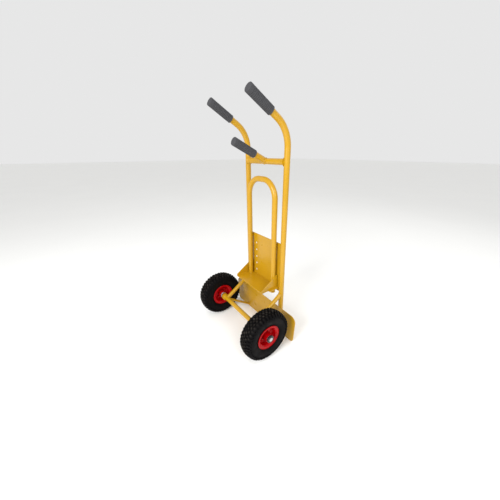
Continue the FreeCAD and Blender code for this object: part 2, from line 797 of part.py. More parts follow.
def make_tyre(name, side):
    """A carcass with beads in the rim, round sidewalls and a nearly flat tread."""
    half, outer = size("tyre_width") / 2, size("wheel_radius")
    wall, tread = size("tyre_wall"), size("tread_thick")
    heel = size("rim_width") / 2 - size("rim_thick") - size("gap")
    seat = size("bead_radius") + size("gap")
    slope = size("rim_width") / 2 - 3 * size("rim_thick")
    belly = (seat + outer) / 2
    shoulder = (size("shoulder_half"), outer - size("crown_drop"))
    toe = heel - 2 * wall
    inner_shoulder = (shoulder[0] - wall, shoulder[1] - tread)
    steps = [
        (slope, seat),
        (heel, seat + size("rim_thick")),
        (heel, size("rim_radius")),
        ((half, belly + size("belly_lift")), shoulder),
        ((0, outer), (-shoulder[0], shoulder[1])),
        ((-half, belly + size("belly_lift")), (-heel, size("rim_radius"))),
        (-heel, seat + size("rim_thick")),
        (-slope, seat),
        (-toe, seat),
        (-toe - wall / 2, seat + 2 * wall),
        ((-half + wall, belly), (-inner_shoulder[0], inner_shoulder[1])),
        ((0, outer - tread), inner_shoulder),
        ((half - wall, belly), (toe + wall / 2, seat + 2 * wall)),
        (toe, seat),
    ]
    feature("tyre_" + name, revolved("tyre", side, steps), side)


INNER_TUBE_DIA = "(wheel_radius - tread_thick - gap - bead_radius - inner_tube_seat)"
INNER_TUBE_MIDDLE = "(bead_radius + inner_tube_seat + %s / 2)" % INNER_TUBE_DIA


def make_inner_tube(name, side):
    tube = DOC.addObject("Part::Torus", "inner_tube_" + name)
    bind(tube, Radius1=INNER_TUBE_MIDDLE, Radius2=INNER_TUBE_DIA + " / 2")
    tube.Placement = Placement(Vector(), Rotation(Vector(0, 1, 0), 90))
    bind(tube, base_x="%d * %s" % (side, WHEEL_OUT), base_y="-axle_back", base_z="wheel_radius")
    keep(tube, "inner_tube_" + name)


def bolt_angles():
    count = int(size("rim_bolts"))
    return [math.radians(360 * (number + 0.5) / count) for number in range(count)]


def valve_line(side):
    """Start and heading of the valve, from the inner tube through the outer rim half."""
    base = size("bead_radius") + size("inner_tube_seat")
    tube_radius = (size("wheel_radius") - size("tread_thick") - size("gap") - base) / 2
    lean = math.radians(size("valve_lean"))
    heading = Vector(side * math.sin(lean), 0, -math.cos(lean))
    near = Vector(side * size("valve_out"), 0, 0)
    reach = tube_radius + size("gap") + size("valve_dia") / 6
    drop = math.sqrt(reach ** 2 - size("valve_out") ** 2)
    turn = Rotation(Vector(1, 0, 0), size("valve_angle"))
    return turn.multVec(near + Vector(0, 0, base + tube_radius - drop)), turn.multVec(heading)


def make_rim(name, side):
    """Two pressed halves: a flat disc round the hub, a cone and a flange that holds the bead."""
    thick, gap = size("rim_thick"), size("gap")
    bore = size("hub_dia") / 2 + gap
    seat, edge, half = size("bead_radius"), size("rim_radius"), size("rim_width") / 2
    disc = size("rim_disc_dia") / 2
    steps = [
        (gap / 2, bore),
        (gap / 2 + thick, bore),
        (gap / 2 + thick, disc - thick),
        (gap / 2 + 3 * thick, disc + thick),
        (half - 2 * thick, seat - thick - 1),
        (half, seat + thick),
        (half, edge - 1),
        (half + thick, edge),
        (half + thick / 2, edge + thick / 2 + 0.5),
        (half - thick, edge),
        (half - thick, seat + thick),
        (half - 3 * thick, seat),
        (gap / 2 + 2 * thick, disc + 2 * thick),
        (gap / 2, disc),
    ]
    bolt_radius = size("rim_bolt_dia") / 2 + size("bolt_gap")
    for part, sign in (("outer", side), ("inner", -side)):
        shape = revolved("rim", sign, steps)
        for angle in bolt_angles():
            spot = Vector(-half, math.cos(angle), math.sin(angle))
            spot.y *= size("rim_bolt_circle") / 2
            spot.z *= size("rim_bolt_circle") / 2
            shape = shape.cut(Part.makeCylinder(bolt_radius, 2 * half, spot, Vector(1, 0, 0)))
        if part == "outer":
            start, heading = valve_line(side)
            hole = Part.makeCylinder(size("valve_dia") / 2 + 2 * gap, size("valve_run"), start, heading)
            shape = shape.cut(hole)
        feature("rim_%s_%s" % (part, name), shape, side)


def make_valve(name, side):
    """A rubber stem with a screwed cap."""
    start, heading = valve_line(side)
    run = size("valve_run")
    stem = Part.makeCylinder(size("valve_dia") / 2, run, start, heading)
    cap = Part.makeCylinder(size("valve_cap_dia") / 2, size("valve_cap_run"), start + heading * run, heading)
    feature("valve_" + name, stem.fuse(cap).removeSplitter(), side)


def rim_fastener(name, side, angle, start, length, across):
    """A hexagon about a line parallel to the axle, on the bolt circle."""
    prism = DOC.addObject("Part::Prism", name)
    prism.Polygon = 6
    bind(prism, Circumradius=across + " / sqrt(3)", Height=length)
    prism.Placement = Placement(Vector(), Rotation(Vector(0, 1, 0), 90))
    place_fastener(prism, side, angle, start, length)
    return prism


def place_fastener(thing, side, angle, start, length):
    centre = "%d * %s" % (side, WHEEL_OUT)
    out = "%s + %s" % (centre, start) if side > 0 else "%s - (%s) - (%s)" % (centre, start, length)
    along = "rim_bolt_circle / 2 * %s(%s deg) + -axle_back" % ("cos", round(math.degrees(angle), 3))
    up = "rim_bolt_circle / 2 * %s(%s deg) + wheel_radius" % ("sin", round(math.degrees(angle), 3))
    bind(thing, base_x=out, base_y=along, base_z=up)


def rim_shank(name, side, angle, start, length, dia):
    rod = cylinder(name, dia, length, "x")
    place_fastener(rod, side, angle, start, length)
    return rod


def make_rim_fasteners(name, side):
    """Hexagon bolts through both rim halves and the nuts behind them."""
    face = "gap * 1.5 + rim_thick"
    nut_run = "rim_nut_run"
    bolts = []
    nuts = []
    for number, angle in enumerate(bolt_angles()):
        tag = "%s_%d" % (name, number)
        head = rim_fastener("bolt_head_" + tag, side, angle, face, "rim_bolt_head", "rim_bolt_across")
        shank_start = "-(%s) - %s - rim_bolt_dia / 4" % (face, nut_run)
        shank_run = "2 * (%s) + %s + rim_bolt_dia / 4 + rim_bolt_head / 2" % (face, nut_run)
        shank = rim_shank("bolt_shank_" + tag, side, angle, shank_start, shank_run, "rim_bolt_dia")
        bolts.append(fuse("bolt_" + tag, head, shank))
        nut_start = "-(%s) - %s" % (face, nut_run)
        body = rim_fastener("nut_body_" + tag, side, angle, nut_start, nut_run, "rim_bolt_across")
        bore_dia = "rim_bolt_dia + 2 * shaft_gap"
        bore = rim_shank("nut_bore_" + tag, side, angle, nut_start, nut_run, bore_dia)
        nuts.append(cut("nut_" + tag, body, bore))
    group("rim_bolts_" + name, bolts)
    group("rim_nuts_" + name, nuts)


def make_hub(name, side):
    """A tube with a seat for a ball bearing in each end."""
    seat_dia = "bearing_dia + 2 * shaft_gap"
    start = HUB_IN
    outside = axle_cylinder("hub_outside_" + name, side, start, "hub_width", "hub_dia")
    bore = axle_cylinder("hub_bore_" + name, side, start, "hub_width", "axle_dia + 2 * hub_play")
    ends = (start, HUB_OUT + " - bearing_width")
    seats = [
        axle_cylinder("hub_seat_%s_%d" % (name, number), side, end, "bearing_width", seat_dia)
        for number, end in enumerate(ends)
    ]
    keep(cut("hub_cut_" + name, outside, bore, *seats), "hub_" + name)
    rings = [
        axle_ring("bearing_%s_%d" % (name, number), side, end, "bearing_width", "bearing_dia", SLEEVE_BORE)
        for number, end in enumerate(ends)
    ]
    group("bearings_" + name, rings)


for name, side in sides():
    make_tyre(name, side)
    make_inner_tube(name, side)
    make_rim(name, side)
    make_valve(name, side)
    make_rim_fasteners(name, side)
    make_hub(name, side)


# ---------------------------------------------------------------- check and write
def check_all():
    DOC.recompute()
    for thing in DOC.Objects:
        bad = [word for word in thing.State if word in ("Invalid", "Error")]
        assert not bad, "%s: %s" % (thing.Name, thing.State)
    for thing in SUB_PARTS:
        assert not thing.Shape.isNull(), thing.Label + ": no shape"
        assert thing.Shape.isValid(), thing.Label + ": shape is not valid"


def floor_centre():
    """Middle of the truck, front to back: from the tyres' rear to the tips of the pegs."""
    rear = size("axle_back") + size("wheel_radius")
    front = size("peg_nose") + size("hole_dia") / 2 - size("peg_gap")
    return Vector(0, (front - rear) / 2, 0)


def write_all():
    os.makedirs("parts", exist_ok=True)
    origin = floor_centre()
    print("origin at y = %.2f from the uprights" % origin.y)
    for thing in SUB_PARTS:
        shape = thing.Shape.copy()
        shape.translate(-origin)
        shape.exportStep("parts/%s.step" % thing.Label)
        box = shape.BoundBox
        print(
            "%-20s solids %d  x %7.1f %7.1f  y %7.1f %7.1f  z %7.1f %7.1f" % (
                thing.Label, len(thing.Shape.Solids),
                box.XMin, box.XMax, box.YMin, box.YMax, box.ZMin, box.ZMax,
            )
        )


check_all()
write_all()
print(len(SUB_PARTS), "sub-parts")
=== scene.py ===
"""Looks of a two-wheeled hand truck with a height-adjustable shelf, built around its CAD frame."""
import json
import math

import bpy
from bpy.props import FloatProperty, FloatVectorProperty, IntProperty, PointerProperty
from mathutils import Matrix, Vector

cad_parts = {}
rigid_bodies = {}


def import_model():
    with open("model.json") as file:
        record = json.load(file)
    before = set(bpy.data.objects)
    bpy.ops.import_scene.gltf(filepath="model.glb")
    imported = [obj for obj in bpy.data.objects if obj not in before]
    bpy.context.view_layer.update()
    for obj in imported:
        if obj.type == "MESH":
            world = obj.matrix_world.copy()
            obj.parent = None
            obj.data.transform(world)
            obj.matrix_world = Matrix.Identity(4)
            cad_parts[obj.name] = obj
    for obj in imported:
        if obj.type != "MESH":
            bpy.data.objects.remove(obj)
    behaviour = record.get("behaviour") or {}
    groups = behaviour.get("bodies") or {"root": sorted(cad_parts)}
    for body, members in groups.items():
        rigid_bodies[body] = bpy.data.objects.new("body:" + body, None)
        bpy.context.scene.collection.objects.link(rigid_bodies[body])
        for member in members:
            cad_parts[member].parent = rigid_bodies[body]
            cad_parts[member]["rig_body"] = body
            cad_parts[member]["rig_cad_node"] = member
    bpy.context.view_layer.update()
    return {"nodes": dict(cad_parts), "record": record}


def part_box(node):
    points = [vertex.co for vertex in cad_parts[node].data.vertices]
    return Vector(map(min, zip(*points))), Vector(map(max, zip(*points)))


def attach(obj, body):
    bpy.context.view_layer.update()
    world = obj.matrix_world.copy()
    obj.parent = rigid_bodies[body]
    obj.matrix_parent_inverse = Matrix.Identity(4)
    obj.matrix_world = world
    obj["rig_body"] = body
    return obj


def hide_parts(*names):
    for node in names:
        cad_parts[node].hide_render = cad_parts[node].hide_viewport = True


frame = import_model()

bl_info = {
    "name": "Hand truck",
    "version": (1, 0, 0),
    "blender": (4, 5, 0),
    "location": "3D View > Sidebar > Hand truck",
    "description": "Builds the tyres, grips, welds, plates and finishes of a tubular hand truck",
    "category": "Add Mesh",
}

MM = 0.001
SIDES = (("left", -1), ("right", 1))

# lean of the handles from upright
SIDE_HANDLE_LEAN = math.radians(60)
CENTRE_HANDLE_LEAN = math.radians(65)

# outline of a tyre
RIM_HEEL = 28.0 * MM  # from the tyre's middle plane to its edge on the rim
BEAD_SEAT = 53.6 * MM  # radius of the tyre's bead on the rim
CROWN_DROP = 7.0 * MM  # from the crown down to the shoulder
SHOULDER_SHARE = 0.8  # shoulder, as a share of the half width
BELLY_SHARE = 0.718  # widest place, as a share of the outer radius

# blocks of one pitch of tread: long and wide, after the turn in pitches and what places the row
CROWN_BLOCK = (11.0 * MM, 10.0 * MM)
TREAD_ROWS = (  # distance out from the middle
    (12.5 * MM, 0.5, 9.5 * MM, 10.0 * MM),
    (26.5 * MM, 0.0, 10.0 * MM, 13.0 * MM),
)
SHOULDER_ROWS = (  # share of the way from the sidewall's widest place to the shoulder
    (0.86, 0.0, 10.5 * MM, 14.0 * MM),
    (0.62, 0.5, 8.0 * MM, 10.0 * MM),
)
BLOCK_ROOT = 1.5 * MM  # part of a block that is sunk in the carcass
BLOCK_DRAFT = 0.84  # size of a block's outer face against its root
BLOCK_BEVEL = 0.7 * MM
SIDEWALL_RINGS = ((6.5 * MM, 1.0 * MM), (13 * MM, 0.7 * MM))  # distance from the rim, and height
RING_FOOT, RING_TOP = 1.6 * MM, 0.6 * MM  # half widths of a ring
RING_ROOT = 1.5 * MM  # part of a ring that is sunk in the sidewall

# grips
GRIP_WALL = 3.9 * MM
GRIP_COLLAR = 5.0 * MM  # smooth run at the mouth
FIRST_RIB = 7.0 * MM  # from the mouth
LAST_RIB = 16.0 * MM  # from the end
GRIP_END = 5.0 * MM  # thickness of the closed end
GRIP_DOME = 4.0 * MM  # radius of the end's edge

# welds
BEAD_STANDOFF = 0.35  # part of a bead's radius by which its middle stands off the metal
SEAT_SHARE = 0.42  # where the foot plate's beads lie, as a share of the tube's radius
PLATE_GAP = 0.3 * MM  # between a plate and what it is welded to
HOLE_PLATE_LEVELS = (0.12, 0.5, 0.88)  # of the plate's height
HOLE_PLATE_RUN = 18.0 * MM  # half length of a bead

# place, size in metres and power in watts of the soft lights: key, side and back
LIGHTS = (
    ((0.7, -2.4, 1.7), 1.3, 70.0),
    ((2.4, -0.3, 1.9), 1.6, 32.0),
    ((0.4, 2.4, 2.6), 2.4, 12.0),
)
LIGHT_TARGET = (0, 0, 0.45)
CAMERA_PLACE = (0.85776, -0.55279, 0.94268)
CAMERA_TURN = (math.radians(65.957), 0, math.radians(52.111))


def linear(code):
    """Linear colour of an sRGB hex value."""
    parts = [int(code[at:at + 2], 16) / 255 for at in (1, 3, 5)]
    return tuple(part / 12.92 if part <= 0.04045 else ((part + 0.055) / 1.055) ** 2.4 for part in parts)


def colour(label, about, code):
    """A colour property with its default from a hex value."""
    return FloatVectorProperty(
        name=label, description=about, default=linear(code), subtype="COLOR", min=0.0, max=1.0,
    )


def length(label, about, millimetres):
    """A length property with its default in millimetres."""
    return FloatProperty(name=label, description=about, default=millimetres * MM, unit="LENGTH", min=0.0)


# ---------------------------------------------------------------- properties
class HandTruckSizes(bpy.types.PropertyGroup):
    """Sizes of the pieces modelled here."""
    tread_pitches: IntProperty(
        name="Tread pitches", description="Repeats of the tread round a tyre", default=42,
    )
    groove_depth: length("Groove depth", "Depth of the tyre's grooves", 7.0)
    lug_height: length("Lug height", "Height of the lugs on the tyre's shoulders", 4.4)
    tyre_wall: length("Tyre wall", "Thickness of the tyre's carcass", 5.0)
    rib_pitch: length("Rib pitch", "Distance from rib to rib on a grip", 6.5)
    rib_height: length("Rib height", "Height of the ribs on a grip", 1.1)
    edge_round: length("Edge rounding", "Radius of the painted edges of the sheet metal", 0.7)
    weld_leg: length("Weld leg", "Radius of a weld bead", 2.3)
    weld_ripple: length("Weld ripple", "Distance from ripple to ripple in a weld bead", 2.4)
    strut_height: length("Strut height", "Height at which a strut's axis meets its upright's axis", 245.0)
    strut_dia: length("Strut diameter", "Outer diameter of a strut", 22.0)
    brace_dia: length("Brace diameter", "Diameter of a brace rod", 14.0)
    brace_foot: length("Brace foot height", "Height at which a brace's axis meets the foot plate", 14.0)


class HandTruckColours(bpy.types.PropertyGroup):
    """Colours of the finishes."""
    frame_paint: colour("Frame paint", "Golden yellow powder coat", "#B4880F")
    rim_paint: colour("Rim paint", "Gloss red enamel", "#9E0006")
    tyre: colour("Tyre rubber", "Carbon black rubber", "#040304")
    # the dust colour is real dust on the paint, grips and tube, and on the tyre it is also a painted
    # highlight on the block tops
    dust: colour("Dust", "Dry dust in the tread", "#4A443D")
    plastic: colour("Plastic", "Black moulded polypropylene", "#1A1A1B")
    zinc: colour("Zinc", "Bright zinc plating", "#C9CCCD")
    floor: colour("Floor", "Pale studio floor", "#F7F7F5")


# ---------------------------------------------------------------- finishes
def add_node(tree, kind, settings=None, links=None):
    """Add a node, give its sockets and options their values, and link its inputs."""
    node = tree.nodes.new(kind)
    for name, value in (settings or {}).items():
        if name in node.inputs:
            node.inputs[name].default_value = value
        else:
            setattr(node, name, value)
    for name, socket in (links or {}).items():
        tree.links.new(socket, node.inputs[name])
    return node


def start_finish(name):
    """A new material with only its shader, output and Object coordinates."""
    material = bpy.data.materials.new(name)
    material.use_nodes = True
    tree = material.node_tree
    tree.nodes.clear()
    shader = tree.nodes.new("ShaderNodeBsdfPrincipled")
    add_node(tree, "ShaderNodeOutputMaterial", links={"Surface": shader.outputs["BSDF"]})
    place = add_node(tree, "ShaderNodeTexCoord").outputs["Object"]
    return material, tree, shader, place


def grain(tree, place, size, detail=3.0, roughness=0.5):
    """Noise whose blotches are about size metres across."""
    return add_node(
        tree, "ShaderNodeTexNoise",
        {"Scale": 1 / size, "Detail": detail, "Roughness": roughness}, {"Vector": place},
    ).outputs["Fac"]


def spread(tree, value, low, high, out_low=0.0, out_high=1.0):
    """Map a value's range from low and high to other limits, with smooth ends."""
    return add_node(
        tree, "ShaderNodeMapRange",
        {
            "interpolation_type": "SMOOTHSTEP",
            "From Min": low, "From Max": high, "To Min": out_low, "To Max": out_high,
        },
        {"Value": value},
    ).outputs["Result"]


def blend_colours(tree, amount, low, high):
    """Two colours mixed by an amount; each colour is a value or a socket."""
    node = add_node(tree, "ShaderNodeMix", {"data_type": "RGBA"}, {"Factor": amount})
    # inputs 6 and 7 and output 2 are the colour sockets of this node
    for socket, value in ((node.inputs[6], low), (node.inputs[7], high)):
        if isinstance(value, bpy.types.NodeSocket):
            tree.links.new(value, socket)
        else:
            socket.default_value = (*value, 1.0)
    return node.outputs[2]


def roughen(tree, shader, height, depth, strength=0.6):
    """Bump of a real depth in metres."""
    bump = add_node(tree, "ShaderNodeBump", {"Strength": strength, "Distance": depth}, {"Height": height})
    tree.links.new(bump.outputs["Normal"], shader.inputs["Normal"])


def height_above_floor(tree, place):
    """Z of a point, in metres."""
    return add_node(tree, "ShaderNodeSeparateXYZ", links={"Vector": place}).outputs["Z"]


def product(tree, first, second):
    """Two values multiplied."""
    return add_node(tree, "ShaderNodeMath", {"operation": "MULTIPLY"}, {0: first, 1: second}).outputs[0]


def powder_coat(name, base, dark_share, roughness, coat, specular, dirt):
    """Sprayed and baked powder: even colour, faint orange peel, cloudy gloss and dirt near the floor."""
    material, tree, shader, place = start_finish(name)
    cloud = spread(tree, grain(tree, place, 0.11, 2.0), 0.35, 0.7)
    shade = tuple(part * dark_share for part in base)
    painted = blend_colours(tree, cloud, base, shade)
    low = spread(tree, height_above_floor(tree, place), 0.0, 0.09, 0.35, 0.0)
    patch = spread(tree, grain(tree, place, 0.022, 6.0, 0.65), 0.55, 0.8)
    soiled = blend_colours(tree, product(tree, low, patch), painted, dirt)
    tree.links.new(soiled, shader.inputs["Base Color"])
    gloss = spread(tree, grain(tree, place, 0.035, 4.0), 0.3, 0.75, roughness - 0.05, roughness + 0.09)
    tree.links.new(gloss, shader.inputs["Roughness"])
    shader.inputs["IOR"].default_value = 1.5
    shader.inputs["Specular IOR Level"].default_value = specular
    shader.inputs["Coat Weight"].default_value = coat
    shader.inputs["Coat Roughness"].default_value = 0.12
    # orange peel of a real coat is 1 to 2 mm across; 2.5 mm shows in a close view
    roughen(tree, shader, grain(tree, place, 2.5 * MM, 1.0), 0.05 * MM, 0.5)
    return material


def distance_from_axle(tree, place):
    """Distance from the wheels' common axis, which runs along X."""
    centre = middle("axle_rod")
    flat = add_node(
        tree, "ShaderNodeMapping",
        {"Location": (0, -centre.y, -centre.z), "Scale": (0, 1, 1)}, {"Vector": place},
    ).outputs["Vector"]
    return add_node(tree, "ShaderNodeVectorMath", {"operation": "LENGTH"}, {0: flat}).outputs["Value"]


def rubber(name, base, dust, dust_amount, roughness, pore, dust_and_highlight_from=None):
    """Moulded rubber: nearly black and matt, with a fine grain and patches of dust; on a tyre the dust colour
    also lightens the block tops as a painted highlight and leaves the grooves dark as painted shade.
    """
    material, tree, shader, place = start_finish(name)
    patch = spread(tree, grain(tree, place, 0.016, 6.0, 0.7), 0.4, 0.75, 0.0, dust_amount)
    if dust_and_highlight_from:
        # painted highlight and shade: the dust tint grows with distance from the axle, so block tops are
        # lighter and grooves stay near black
        dust_and_top_highlight = spread(tree, distance_from_axle(tree, place), dust_and_highlight_from, dust_and_highlight_from + 9 * MM, 0.06, 1.0)
        patch = product(tree, patch, dust_and_top_highlight)
    tree.links.new(blend_colours(tree, patch, base, dust), shader.inputs["Base Color"])
    dull = spread(tree, grain(tree, place, 0.03, 3.0), 0.3, 0.7, roughness - 0.08, roughness + 0.1)
    tree.links.new(dull, shader.inputs["Roughness"])
    shader.inputs["IOR"].default_value = 1.52
    shader.inputs["Specular IOR Level"].default_value = 0.08
    roughen(tree, shader, grain(tree, place, pore, 3.0), 0.12 * MM)
    return material


def moulded_plastic(name, base):
    """Injection-moulded polypropylene: a spark-eroded grain that dulls its gloss."""
    material, tree, shader, place = start_finish(name)
    scuff = spread(tree, grain(tree, place, 0.012, 5.0), 0.55, 0.8, 0.0, 0.35)
    paler = tuple(part * 2.2 for part in base)
    tree.links.new(blend_colours(tree, scuff, base, paler), shader.inputs["Base Color"])
    dull = spread(tree, grain(tree, place, 0.008, 3.0), 0.3, 0.7, 0.38, 0.5)
    tree.links.new(dull, shader.inputs["Roughness"])
    shader.inputs["IOR"].default_value = 1.49
    # spark grain is about 0.2 mm; 0.8 mm shows in a close view
    roughen(tree, shader, grain(tree, place, 0.8 * MM, 2.0), 0.04 * MM, 0.5)
    return material


def zinc_plate(name, base):
    """Bright zinc on turned or drawn steel: cool metal with cloudy spangle and faint drawing marks."""
    material, tree, shader, place = start_finish(name)
    cloud = spread(tree, grain(tree, place, 0.009, 4.0), 0.3, 0.75)
    duller = tuple(part * 0.72 for part in base)
    tree.links.new(blend_colours(tree, cloud, base, duller), shader.inputs["Base Color"])
    shader.inputs["Metallic"].default_value = 1.0
    dull = spread(tree, grain(tree, place, 0.005, 4.0), 0.3, 0.7, 0.22, 0.4)
    tree.links.new(dull, shader.inputs["Roughness"])
    stretch = add_node(
        tree, "ShaderNodeMapping", {"Scale": (0.05, 1.0, 1.0)}, {"Vector": place},
    ).outputs["Vector"]
    # drawing marks are about 0.1 mm apart; 0.5 mm shows in a close view
    roughen(tree, shader, grain(tree, stretch, 0.5 * MM, 2.0), 0.02 * MM, 0.5)
    return material


def studio_floor(name, base):
    """Matt painted floor: even and pale, with the faintest roller texture."""
    material, tree, shader, place = start_finish(name)
    cloud = spread(tree, grain(tree, place, 0.8, 2.0), 0.3, 0.7)
    duller = tuple(part * 0.99 for part in base)
    tree.links.new(blend_colours(tree, cloud, base, duller), shader.inputs["Base Color"])
    shader.inputs["Roughness"].default_value = 0.75
    shader.inputs["Specular IOR Level"].default_value = 0.2
    return material


def finishes():
    """The finish of each material slot of the record, made once."""
    colours = bpy.context.scene.hand_truck_colours
    dust = colours.dust
    # function, name of the material, and the rest of the function's arguments
    makers = {
        "frame_paint": (powder_coat, "golden_powder_coat", colours.frame_paint, 0.96, 0.32, 0.22, 0.35, dust),
        "rim_paint": (powder_coat, "red_gloss_enamel", colours.rim_paint, 0.9, 0.22, 0.04, 0.1, dust),
        # the tyre's last value is the radius where the painted highlight and dust on the block tops begin
        "tyre": (rubber, "tyre_rubber", colours.tyre, dust, 0.6, 0.62, 1.1 * MM, 121 * MM),
        "tube_rubber": (rubber, "butyl_rubber", colours.tyre, dust, 0.1, 0.55, 0.9 * MM),
        "grip_rubber": (rubber, "grip_rubber", colours.plastic, dust, 0.06, 0.62, 0.9 * MM),
        "black_plastic": (moulded_plastic, "moulded_polypropylene", colours.plastic),
        "zinc_steel": (zinc_plate, "bright_zinc_plate", colours.zinc),
    }
    return {
        slot: bpy.data.materials.get(name) or make(name, *settings)
        for slot, (make, name, *settings) in makers.items()
    }


# ---------------------------------------------------------------- modelling helpers
def deselect():
    """Go to object mode with nothing selected."""
    if bpy.context.object and bpy.context.object.mode != "OBJECT":
        bpy.ops.object.mode_set(mode="OBJECT")
    bpy.ops.object.select_all(action="DESELECT")


def pick(piece):
    """Make one object the only selected and active one."""
    deselect()
    piece.select_set(True)
    bpy.context.view_layer.objects.active = piece


def edit(piece):
    """Open one object in edit mode with everything selected."""
    pick(piece)
    bpy.ops.object.mode_set(mode="EDIT")
    bpy.ops.mesh.select_all(action="SELECT")


def close_edit():
    """Go back to object mode."""
    bpy.ops.object.mode_set(mode="OBJECT")


def turned(name, rings, sides=64, closed=False):
    """A turned shape about Z: a disc, or a ring for a closed section, extruded and scaled from ring to ring.

    Rings are (radius, height) in metres. A closed section ends where it starts.
    """
    deselect()
    fill = "NOTHING" if closed else "NGON"
    radius, height = rings[0]
    bpy.ops.mesh.primitive_circle_add(vertices=sides, radius=radius, fill_type=fill, location=(0, 0, height))
    piece = bpy.context.object
    piece.name = name
    edit(piece)
    for (r_now, h_now), (r_next, h_next) in zip(rings, rings[1:] + (rings[:1] if closed else [])):
        bpy.ops.mesh.extrude_region_move(TRANSFORM_OT_translate={"value": (0, 0, h_next - h_now)})
        bpy.ops.transform.resize(value=(r_next / r_now, r_next / r_now, 1))
    bpy.ops.mesh.select_all(action="SELECT")
    bpy.ops.mesh.remove_doubles(threshold=0.01 * MM)
    bpy.ops.mesh.normals_make_consistent(inside=False)
    close_edit()
    bpy.ops.object.transform_apply(location=True, rotation=True, scale=True)
    return piece


def move_to(piece, centre, heading):
    """Turn a piece made about Z to a heading, set it at a point and apply that."""
    pick(piece)
    turn = Vector(heading).to_track_quat("Z", "Y").to_matrix().to_4x4()
    piece.matrix_world = Matrix.Translation(centre) @ turn
    bpy.ops.object.transform_apply(location=True, rotation=True, scale=True)


def join(pieces, name):
    """Join pieces into the first of them and name it."""
    deselect()
    for piece in pieces:
        piece.select_set(True)
    bpy.context.view_layer.objects.active = pieces[0]
    bpy.ops.object.join()
    pieces[0].name = name
    return pieces[0]


def add_modifier(piece, kind, **settings):
    """Add a modifier, set it and apply it."""
    pick(piece)
    modifier = piece.modifiers.new(kind.title(), kind)
    for name, value in settings.items():
        setattr(modifier, name, value)
    bpy.ops.object.modifier_apply(modifier=modifier.name)


def smooth(piece, degrees):
    """Shade smooth wherever faces meet at less than an angle."""
    pick(piece)
    bpy.ops.object.shade_smooth_by_angle(angle=math.radians(degrees))


def finish_piece(piece, slot, body, *replaced):
    """Give a piece its finish, its body and the CAD nodes it stands for."""
    piece.data.materials.clear()
    piece.data.materials.append(finishes()[slot])
    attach(piece, body)
    if replaced:
        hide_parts(*replaced)


def middle(node):
    """Centre of a CAD node's box."""
    low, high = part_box(node)
    return (low + high) / 2


def leaning_back(lean):
    """Direction of a handle that leans back from upright."""
    return Vector((0, -math.sin(lean), math.cos(lean)))


def circle_through(a, b, c):
    """Centre and radius of the circle through three points of a plane."""
    d = 2 * (a[0] * (b[1] - c[1]) + b[0] * (c[1] - a[1]) + c[0] * (a[1] - b[1]))
    squares = [point[0] ** 2 + point[1] ** 2 for point in (a, b, c)]
    x = (squares[0] * (b[1] - c[1]) + squares[1] * (c[1] - a[1]) + squares[2] * (a[1] - b[1])) / d
    y = (squares[0] * (c[0] - b[0]) + squares[1] * (a[0] - c[0]) + squares[2] * (b[0] - a[0])) / d
    return (x, y), math.dist((x, y), a)


def arc(a, b, c, steps):
    """Points along the arc from a through b to c, without its last point."""
    centre, radius = circle_through(a, b, c)
    turns = [math.atan2(point[1] - centre[1], point[0] - centre[0]) for point in (a, b, c)]
    sweep = (turns[2] - turns[0]) % (2 * math.pi)
    if (turns[1] - turns[0]) % (2 * math.pi) > sweep:
        sweep -= 2 * math.pi
    return [
        (centre[0] + radius * math.cos(turns[0] + sweep * step / steps),
         centre[1] + radius * math.sin(turns[0] + sweep * step / steps))
        for step in range(steps)
    ]


